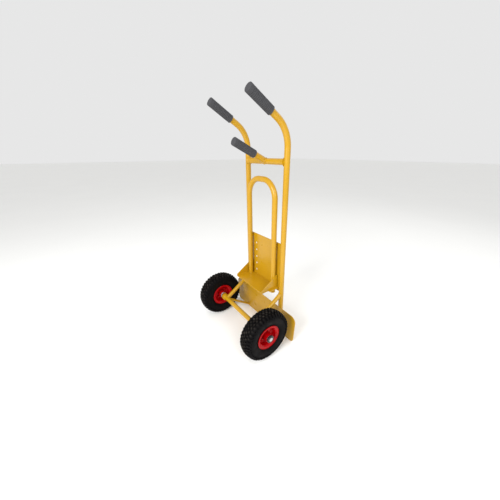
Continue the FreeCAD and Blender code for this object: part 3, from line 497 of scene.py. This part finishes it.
# ---------------------------------------------------------------- tyres
class TyreShape:
    """Outline of the tyre in (radius, out) coordinates, from the CAD tyre's and rim's boxes."""

    def __init__(self, side_name):
        sizes = bpy.context.scene.hand_truck_sizes
        low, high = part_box("tyre_" + side_name)
        self.outer = (high.z - low.z) / 2
        self.half = (high.x - low.x) / 2
        rim_low, rim_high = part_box("rim_outer_" + side_name)
        self.rim = (rim_high.z - rim_low.z) / 2
        self.groove, self.lug, self.wall = sizes.groove_depth, sizes.lug_height, sizes.tyre_wall
        # over the blocks
        self.shoulder = (self.outer - CROWN_DROP, self.half * SHOULDER_SHARE)
        self.belly = (self.outer * BELLY_SHARE, self.half)
        # on the carcass, under the blocks
        self.corner = (self.shoulder[0] - self.lug, self.shoulder[1] - self.lug * 0.4)
        self.wide = (self.belly[0], self.half - self.lug)
        self.edge = (self.rim + 1 * MM, RIM_HEEL)

    def crown(self, out):
        """Radius and slope of the tread's top at a distance out."""
        centre, radius = circle_through(
            self.shoulder, (self.outer, 0.0), (self.shoulder[0], -self.shoulder[1]),
        )
        slope = math.asin(out / radius)
        return centre[0] + radius * math.cos(slope), slope

    def flank(self, share):
        """Point and slope on the sidewall, from its widest point (0) to its shoulder (1)."""
        centre, radius = circle_through((self.rim, RIM_HEEL), self.belly, self.shoulder)
        turns = [
            math.atan2(point[1] - centre[1], point[0] - centre[0]) for point in (self.belly, self.shoulder)
        ]
        turn = turns[0] + (turns[1] - turns[0]) * share
        return (centre[0] + radius * math.cos(turn), centre[1] + radius * math.sin(turn)), turn

    def ring_seat(self, radius):
        """Distance out of the carcass's sidewall at a radius."""
        centre, size = circle_through(self.edge, self.wide, self.corner)
        return centre[1] + math.sqrt(size ** 2 - (radius - centre[0]) ** 2)

    def section(self):
        """Closed section of the carcass."""
        floor = self.outer - self.groove
        corner, wide, edge = self.corner, self.wide, self.edge
        skin = [(BEAD_SEAT, RIM_HEEL)]
        skin += arc(edge, wide, corner, 12)
        skin += arc(corner, (floor, 0.0), mirrored(corner), 12)
        skin += arc(mirrored(corner), mirrored(wide), mirrored(edge), 12)
        skin += [mirrored(edge), (BEAD_SEAT, -RIM_HEEL)]
        toe = RIM_HEEL - 2 * self.wall
        inner_corner = (corner[0] - self.wall, corner[1] - self.wall)
        inner_wide = (wide[0], wide[1] - self.wall)
        knee = (self.rim + self.wall, RIM_HEEL - self.wall)
        skin += [(BEAD_SEAT, -toe)]
        skin += arc(mirrored(knee), mirrored(inner_wide), mirrored(inner_corner), 6)
        skin += arc(mirrored(inner_corner), (floor - self.wall, 0.0), inner_corner, 6)
        skin += arc(inner_corner, inner_wide, knee, 6)
        skin += [knee, (BEAD_SEAT, toe)]
        return skin


def mirrored(point):
    """A point of the tyre's section on the other side of its middle plane."""
    return point[0], -point[1]


def tread_block(centre, slope, turn, long, wide, deep):
    """One rubber block: a cube whose outer face is drawn in, set at a place, slope and turn."""
    deselect()
    bpy.ops.mesh.primitive_cube_add(size=1.0)
    block = bpy.context.object
    edit(block)
    bpy.ops.transform.resize(value=(deep, long, wide))
    bpy.ops.transform.translate(value=(-deep / 2, 0, 0))
    bpy.ops.mesh.select_all(action="DESELECT")
    close_edit()
    for face in block.data.polygons:
        face.select = face.normal.x > 0.9
    bpy.ops.object.mode_set(mode="EDIT")
    bpy.ops.transform.resize(value=(1, BLOCK_DRAFT, BLOCK_DRAFT))
    close_edit()
    block.matrix_world = (
        Matrix.Rotation(turn, 4, "Z")
        @ Matrix.Translation((centre[0], 0, centre[1]))
        @ Matrix.Rotation(-slope, 4, "Y")
    )
    bpy.ops.object.transform_apply(location=True, rotation=True, scale=True)
    return block


def tread_pitch(shape, pitches):
    """The blocks and shoulder lugs of one pitch, with bevelled edges."""
    step = 2 * math.pi / pitches
    root, lug_root = shape.groove + BLOCK_ROOT, shape.lug + BLOCK_ROOT
    blocks = [tread_block((shape.outer, 0.0), 0.0, 0.0, *CROWN_BLOCK, root)]
    for side in (-1, 1):
        for out, turn, long, wide in TREAD_ROWS:
            radius, slope = shape.crown(out)
            blocks.append(tread_block((radius, side * out), side * slope, turn * step, long, wide, root))
        for share, turn, long, wide in SHOULDER_ROWS:
            place, slope = shape.flank(share)
            centre = (place[0], side * place[1])
            blocks.append(tread_block(centre, side * slope, turn * step, long, wide, lug_root))
    pitch = join(blocks, "tread_pitch")
    add_modifier(
        pitch, "BEVEL", width=BLOCK_BEVEL, segments=1, limit_method="ANGLE", angle_limit=math.radians(40),
    )
    return pitch


def build_tyre(side_name):
    """Carcass, sidewall rings and block tread of one tyre."""
    sizes = bpy.context.scene.hand_truck_sizes
    shape = TyreShape(side_name)
    carcass = turned("treaded_tyre_" + side_name, shape.section(), 120, closed=True)
    parts = [carcass]
    for side in (-1, 1):
        for distance, lift in SIDEWALL_RINGS:
            radius = shape.rim + distance
            out = side * shape.ring_seat(radius)
            ridge = [
                (radius - RING_FOOT, out - side * RING_ROOT),
                (radius - RING_TOP, out + side * lift),
                (radius + RING_TOP, out + side * lift),
                (radius + RING_FOOT, out - side * RING_ROOT),
            ]
            parts.append(turned("ridge", ridge, 120, closed=True))
    pitch = tread_pitch(shape, sizes.tread_pitches)
    edit(pitch)
    copies = sizes.tread_pitches - 1
    bpy.ops.mesh.spin(
        steps=copies, dupli=True, angle=2 * math.pi * copies / sizes.tread_pitches,
        center=(0, 0, 0), axis=(0, 0, 1),
    )
    close_edit()
    tyre = join(parts + [pitch], "treaded_tyre_" + side_name)
    move_to(tyre, middle("tyre_" + side_name), (1, 0, 0))
    edit(tyre)
    bpy.ops.mesh.normals_make_consistent(inside=False)
    close_edit()
    smooth(tyre, 32)
    finish_piece(tyre, "tyre", "wheel_" + side_name, "tyre_" + side_name)


class HANDTRUCK_OT_tyres(bpy.types.Operator):
    """Build both pneumatic tyres with their block tread"""
    bl_idname = "hand_truck.tyres"
    bl_label = "Tyres"

    def execute(self, context):
        for name, _ in SIDES:
            build_tyre(name)
        return {"FINISHED"}


# ---------------------------------------------------------------- grips
def build_grip(label, heading):
    """A ribbed rubber sleeve with a domed end, over the last straight run of a handle."""
    sizes = bpy.context.scene.hand_truck_sizes
    low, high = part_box(label)
    heading = heading.normalized()
    outer = (high.x - low.x) / 2
    bore = outer - GRIP_WALL
    # the box of a slanted cylinder is its run plus its end discs seen from the side
    across = math.sqrt(1 - heading.z ** 2)
    run = ((high.z - low.z) - 2 * outer * across) / abs(heading.z)
    rings = [
        (bore, run - GRIP_END), (bore, 0.0),
        (outer - 0.6 * MM, 0.0), (outer, 0.7 * MM),  # chamfer of the mouth
        (outer, GRIP_COLLAR),
    ]
    at = FIRST_RIB
    while at < run - LAST_RIB:
        # floor of a groove, then crest of a rib
        rings += [
            (outer - sizes.rib_height, at),
            (outer - sizes.rib_height, at + sizes.rib_pitch * 0.3),
            (outer, at + sizes.rib_pitch * 0.45),
            (outer, at + sizes.rib_pitch * 0.85),
        ]
        at += sizes.rib_pitch
    rings += [(outer, run - GRIP_DOME)]
    rings += [
        (outer - GRIP_DOME * (1 - math.cos(turn)), run - GRIP_DOME * (1 - math.sin(turn)))
        for turn in (math.radians(angle) for angle in (22.5, 45, 67.5, 90))
    ]
    grip = turned("ribbed_" + label, rings, 56)
    centre = (low + high) / 2
    move_to(grip, centre - heading * run / 2, heading)
    smooth(grip, 40)
    finish_piece(grip, "grip_rubber", "frame", label)


class HANDTRUCK_OT_grips(bpy.types.Operator):
    """Build the three ribbed rubber grips"""
    bl_idname = "hand_truck.grips"
    bl_label = "Grips"

    def execute(self, context):
        for name, _ in SIDES:
            build_grip("grip_" + name, leaning_back(SIDE_HANDLE_LEAN))
        build_grip("centre_grip", leaning_back(CENTRE_HANDLE_LEAN))
        return {"FINISHED"}


# ---------------------------------------------------------------- sheet metal
def rounded_sheet(node, name, body):
    """A CAD plate with its sharp edges rounded, as paint and deburring leave them."""
    pick(frame["nodes"][node])
    bpy.ops.object.duplicate()
    plate = bpy.context.object
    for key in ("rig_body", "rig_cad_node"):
        if key in plate:
            del plate[key]
    world = plate.matrix_world.copy()
    plate.parent = None
    plate.matrix_world = world
    plate.name = name
    edit(plate)
    bpy.ops.mesh.remove_doubles(threshold=0.01 * MM)
    bpy.ops.mesh.dissolve_limited(angle_limit=math.radians(1))
    bpy.ops.mesh.normals_make_consistent(inside=False)
    close_edit()
    round_to = bpy.context.scene.hand_truck_sizes.edge_round
    add_modifier(
        plate, "BEVEL", width=round_to, segments=2, limit_method="ANGLE", angle_limit=math.radians(50),
    )
    smooth(plate, 30)
    # the flat faces keep a flat shade, and only the rounded edges turn it
    add_modifier(plate, "WEIGHTED_NORMAL", mode="FACE_AREA", weight=100, keep_sharp=True)
    finish_piece(plate, "frame_paint", body, node)


class HANDTRUCK_OT_sheets(bpy.types.Operator):
    """Round the edges of the sheet metal: both plates, the shelf and its gussets"""
    bl_idname = "hand_truck.sheets"
    bl_label = "Sheet metal"

    def execute(self, context):
        for node, body in (
            ("foot_plate", "frame"), ("hole_plate", "frame"), ("shelf", "shelf_carriage"),
            ("gusset_left", "shelf_carriage"), ("gusset_right", "shelf_carriage"),
        ):
            rounded_sheet(node, "painted_" + node, body)
        return {"FINISHED"}


# ---------------------------------------------------------------- welds
def weld(points, closed=False):
    """A rippled bead along points: a round bevelled curve whose radius swells at each ripple."""
    sizes = bpy.context.scene.hand_truck_sizes
    walk = ripple_points(points, sizes.weld_ripple / 2, closed)
    curve = bpy.data.curves.new("bead", "CURVE")
    curve.dimensions = "3D"
    curve.bevel_depth = sizes.weld_leg
    curve.bevel_resolution = 2
    curve.use_fill_caps = True
    spline = curve.splines.new("POLY")
    spline.points.add(len(walk) - 1)
    for number, (point, place) in enumerate(zip(spline.points, walk)):
        point.co = (*place, 1.0)
        point.radius = 1.0 if number % 2 else 0.8
        if not closed and number in (0, len(walk) - 1):
            point.radius = 0.45
    spline.use_cyclic_u = closed
    bead = bpy.data.objects.new("bead", curve)
    bpy.context.collection.objects.link(bead)
    pick(bead)
    bpy.ops.object.convert(target="MESH")
    bead = bpy.context.object
    smooth(bead, 60)
    return bead


def ripple_points(points, step, closed):
    """Points at even steps along a line of points."""
    line = [Vector(point) for point in points]
    if closed:
        line.append(line[0])
    total = sum((b - a).length for a, b in zip(line, line[1:]))
    count = max(4, 2 * round(total / step / 2))
    walk = []
    for number in range(count if closed else count + 1):
        goal = total * number / count
        for a, b in zip(line, line[1:]):
            run = (b - a).length
            if goal <= run + 1e-9:
                walk.append(a.lerp(b, goal / run if run else 0))
                break
            goal -= run
        else:
            walk.append(line[-1].copy())
    return walk


def seam(centre, heading, radius, meet, steps=48):
    """Ring of points round a round bar where it meets a surface; meet gives the distance along a line."""
    heading = Vector(heading).normalized()
    first = heading.orthogonal().normalized()
    second = heading.cross(first)
    ring = []
    for number in range(steps):
        turn = 2 * math.pi * number / steps
        start = Vector(centre) + radius * (math.cos(turn) * first + math.sin(turn) * second)
        ring.append(start + heading * meet(start, heading))
    return ring


def meets_tube(axis_point, axis, radius):
    """Distance along a line to the far wall of a round tube, seen from the tube's axis."""
    axis_point, axis = Vector(axis_point), Vector(axis).normalized()

    def meet(start, heading):
        offset = start - axis_point
        flat = offset - axis * offset.dot(axis)
        along = heading - axis * heading.dot(axis)
        a, b, c = along.dot(along), 2 * flat.dot(along), flat.dot(flat) - radius ** 2
        return (-b + math.sqrt(max(b * b - 4 * a * c, 0.0))) / (2 * a)

    return meet


def meets_plane(point, normal):
    """Distance along a line to a plane."""
    point, normal = Vector(point), Vector(normal)

    def meet(start, heading):
        return (point - start).dot(normal) / heading.dot(normal)

    return meet


def half_height(node):
    """Half the height of a CAD node's box, which is the radius of a level tube."""
    low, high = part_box(node)
    return (high.z - low.z) / 2


def strut_and_brace_welds(name, sizes, standoff):
    """Beads at both ends of a strut, then of a brace."""
    low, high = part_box("upright_" + name)
    tube = (high.x - low.x) / 2
    axle = middle("axle_tube")
    top = Vector(((low.x + high.x) / 2, high.y - tube, sizes.strut_height))
    foot = Vector((top.x, axle.y, axle.z))
    brace_end = Vector((top.x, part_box("foot_plate")[0].y, sizes.brace_foot))
    down, brace = (foot - top).normalized(), (brace_end - foot).normalized()
    strut_radius, brace_radius = sizes.strut_dia / 2 + standoff, sizes.brace_dia / 2 + standoff
    upright_wall = meets_tube(top, (0, 0, 1), tube + standoff)
    axle_wall = meets_tube(foot, (1, 0, 0), half_height("axle_tube") + standoff)
    plate_face = meets_plane(brace_end - Vector((0, standoff, 0)), (0, 1, 0))
    return [
        weld(seam(top, down, strut_radius, upright_wall), True),
        weld(seam(foot, -down, strut_radius, axle_wall), True),
        weld(seam(foot, brace, brace_radius, axle_wall), True),
        weld(seam(foot, brace, brace_radius, plate_face), True),
    ]


def plate_welds(name, side, standoff):
    """Beads that hold an upright to the foot plate, then to the hole plate in short runs."""
    low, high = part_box("upright_" + name)
    beads = []
    foot_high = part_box("foot_plate")[1]
    for across in (-1, 1):
        x = (low.x + high.x) / 2 + across * (high.x - low.x) / 2 * SEAT_SHARE
        y = foot_high.y + standoff
        beads.append(weld([(x, y, 16 * MM), (x, y, foot_high.z - 4 * MM)]))
    plate_low, plate_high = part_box("hole_plate")
    x = (plate_high.x if side > 0 else plate_low.x) - side * PLATE_GAP
    for level in HOLE_PLATE_LEVELS:
        z = plate_low.z + (plate_high.z - plate_low.z) * level
        for y in (plate_low.y, plate_high.y):
            beads.append(weld([(x, y, z - HOLE_PLATE_RUN), (x, y, z + HOLE_PLATE_RUN)]))
    return beads


def boss_welds(name, standoff):
    """Beads round the axle tube at both ends of a boss."""
    axle = middle("axle_tube")
    radius = half_height("axle_tube") + standoff
    beads = []
    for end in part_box("axle_boss_" + name):
        ring = [
            (end.x, axle.y + radius * math.cos(turn), axle.z + radius * math.sin(turn))
            for turn in (math.radians(angle) for angle in range(0, 360, 8))
        ]
        beads.append(weld(ring, True))
    return beads


def handle_weld(standoff):
    """Bead round the foot of the centre handle, on the crossbar."""
    bar = middle("crossbar")
    low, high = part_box("hoop")
    radius = (high.y - low.y) / 2 + standoff  # handle, crossbar and hoop are the same tube
    return weld(seam(bar, leaning_back(CENTRE_HANDLE_LEAN), radius, meets_tube(bar, (1, 0, 0), radius)), True)


def gusset_welds():
    """Beads along the feet of both gussets, on the shelf."""
    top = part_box("shelf")[1].z
    beads = []
    for name, side in SIDES:
        low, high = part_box("gusset_" + name)
        x = (low.x if side > 0 else high.x) - side * PLATE_GAP
        beads.append(weld([(x, low.y + 6 * MM, top), (x, high.y - 12 * MM, top)]))
    return beads


class HANDTRUCK_OT_welds(bpy.types.Operator):
    """Lay the painted weld beads where tubes, rods and plates meet"""
    bl_idname = "hand_truck.welds"
    bl_label = "Welds"

    def execute(self, context):
        sizes = context.scene.hand_truck_sizes
        standoff = sizes.weld_leg * BEAD_STANDOFF
        beads = []
        for name, side in SIDES:
            beads += strut_and_brace_welds(name, sizes, standoff)
            beads += plate_welds(name, side, standoff)
            beads += boss_welds(name, standoff)
        beads.append(handle_weld(standoff))
        finish_piece(join(beads, "weld_beads_frame"), "frame_paint", "frame")
        finish_piece(join(gusset_welds(), "weld_beads_shelf"), "frame_paint", "shelf_carriage")
        return {"FINISHED"}


# ---------------------------------------------------------------- finishes of the CAD nodes
class HANDTRUCK_OT_finishes(bpy.types.Operator):
    """Give every CAD node the finish of its material slot"""
    bl_idname = "hand_truck.finishes"
    bl_label = "Finishes"

    def execute(self, context):
        made = finishes()
        for part in frame["record"]["subparts"]:
            node = frame["nodes"][part["node"]]
            node.data.materials.clear()
            node.data.materials.append(made[part["material_slot"]])
        return {"FINISHED"}


# ---------------------------------------------------------------- stage
class HANDTRUCK_OT_stage(bpy.types.Operator):
    """Set the floor, the soft lights and the camera"""
    bl_idname = "hand_truck.stage"
    bl_label = "Stage"

    def execute(self, context):
        deselect()
        bpy.ops.mesh.primitive_plane_add(size=60.0, location=(0, 0, 0))
        floor = bpy.context.object
        floor.name = "studio_floor"
        paint = studio_floor("matt_floor_paint", context.scene.hand_truck_colours.floor)
        floor.data.materials.append(paint)
        world = bpy.data.worlds.new("studio")
        world.use_nodes = True
        background = world.node_tree.nodes["Background"]
        background.inputs["Color"].default_value = (1.0, 1.0, 1.0, 1.0)
        background.inputs["Strength"].default_value = 0.8
        context.scene.world = world
        context.scene.view_settings.view_transform = "Standard"
        for place, size, power in LIGHTS:
            bpy.ops.object.light_add(type="AREA", location=place)
            light = bpy.context.object
            light.data.size = size
            light.data.energy = power
            aim = Vector(LIGHT_TARGET) - Vector(place)
            light.rotation_euler = aim.to_track_quat("-Z", "Y").to_euler()
        bpy.ops.object.camera_add(location=CAMERA_PLACE, rotation=CAMERA_TURN)
        camera = bpy.context.object
        camera.data.sensor_width = 36.0
        camera.data.lens = 15.79
        camera.data.shift_x = -0.0216
        camera.data.shift_y = 0.0012
        context.scene.camera = camera
        return {"FINISHED"}


# ---------------------------------------------------------------- panel and registration
OPERATORS = (
    HANDTRUCK_OT_stage,
    HANDTRUCK_OT_finishes,
    HANDTRUCK_OT_tyres,
    HANDTRUCK_OT_grips,
    HANDTRUCK_OT_sheets,
    HANDTRUCK_OT_welds,
)


class HANDTRUCK_PT_panel(bpy.types.Panel):
    """Sidebar panel that lists the steps"""
    bl_idname = "HANDTRUCK_PT_panel"
    bl_label = "Hand truck"
    bl_space_type = "VIEW_3D"
    bl_region_type = "UI"
    bl_category = "Hand truck"

    def draw(self, context):
        for operator in OPERATORS:
            self.layout.operator(operator.bl_idname)


CLASSES = (HandTruckSizes, HandTruckColours) + OPERATORS + (HANDTRUCK_PT_panel,)


def register():
    for item in CLASSES:
        bpy.utils.register_class(item)
    bpy.types.Scene.hand_truck_sizes = PointerProperty(type=HandTruckSizes)
    bpy.types.Scene.hand_truck_colours = PointerProperty(type=HandTruckColours)


def unregister():
    del bpy.types.Scene.hand_truck_colours
    del bpy.types.Scene.hand_truck_sizes
    for item in reversed(CLASSES):
        bpy.utils.unregister_class(item)


def main():
    register()
    bpy.ops.hand_truck.stage()
    bpy.ops.hand_truck.finishes()
    bpy.ops.hand_truck.tyres()
    bpy.ops.hand_truck.grips()
    bpy.ops.hand_truck.sheets()
    bpy.ops.hand_truck.welds()


if __name__ == "__main__":
    main()
